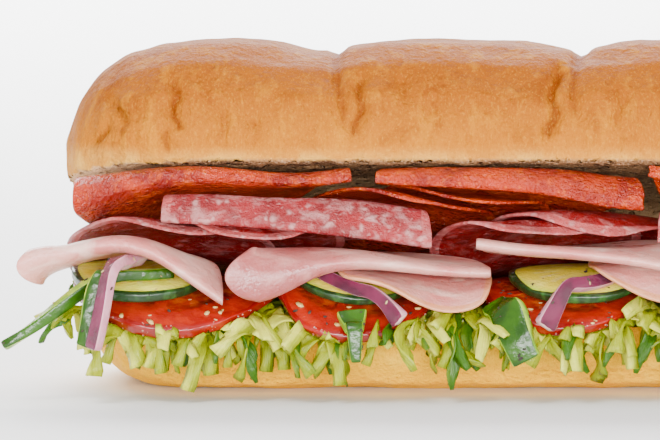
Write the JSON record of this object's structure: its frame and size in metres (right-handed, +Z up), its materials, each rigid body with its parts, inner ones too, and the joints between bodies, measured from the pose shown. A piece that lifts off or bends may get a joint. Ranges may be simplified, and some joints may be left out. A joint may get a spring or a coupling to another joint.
{
  "type": "submarine sandwich",
  "caption": "long submarine sandwich: a soft hinged loaf filled with folded pepperoni, salami and ham over cucumber, tomato, onion, green pepper and lettuce",
  "frame": {"origin": "the middle of the loaf's flat base, on the surface it rests on", "axes": "+X along the loaf, -Y the open side where the filling shows, +Y the hinge side, +Z up"},
  "size_m": [0.3262, 0.0992, 0.0837],
  "materials": {
    "bread": "soft browned crust over a pale porous crumb, dry",
    "lettuce": "crisp wet leaf, slightly glossy",
    "tomato": "wet and glossy",
    "cucumber": "wet pale flesh with dark green skin",
    "onion": "purple skin side and pale wet cut side",
    "pepper": "waxy green skin",
    "ham": "moist, pale, slightly glossy",
    "salami": "moist, marbled with white fat",
    "pepperoni": "oily and glossy"
  },
  "bodies": {
    "root": {"bread": "bread", "lettuce": "lettuce", "tomato_1": "tomato", "tomato_2": "tomato", "tomato_3": "tomato", "tomato_4": "tomato", "tomato_5": "tomato", "tomato_6": "tomato", "tomato_7": "tomato", "cucumber_1": "cucumber", "cucumber_2": "cucumber", "cucumber_3": "cucumber", "cucumber_4": "cucumber", "cucumber_5": "cucumber", "cucumber_6": "cucumber", "pepper_1": "pepper", "pepper_2": "pepper", "pepper_3": "pepper", "pepper_4": "pepper", "pepper_5": "pepper", "pepper_6": "pepper", "pepper_7": "pepper", "pepper_8": "pepper", "onion_1": "onion", "onion_2": "onion", "onion_3": "onion", "onion_4": "onion", "onion_5": "onion", "onion_6": "onion", "ham_1": "ham", "ham_2": "ham", "ham_3": "ham", "ham_folded_1": "ham", "ham_folded_2": "ham", "ham_folded_3": "ham", "ham_folded_4": "ham", "ham_folded_5": "ham", "salami_1": "salami", "salami_2": "salami", "salami_3": "salami", "salami_4": "salami", "salami_5": "salami", "salami_6": "salami", "salami_folded_1": "salami", "salami_folded_2": "salami", "salami_folded_3": "salami", "pepperoni_1": "pepperoni", "pepperoni_2": "pepperoni", "pepperoni_3": "pepperoni", "pepperoni_folded_1": "pepperoni", "pepperoni_folded_2": "pepperoni", "pepperoni_folded_3": "pepperoni", "pepperoni_folded_4": "pepperoni", "pepperoni_folded_5": "pepperoni"}
  },
  "joints": []
}
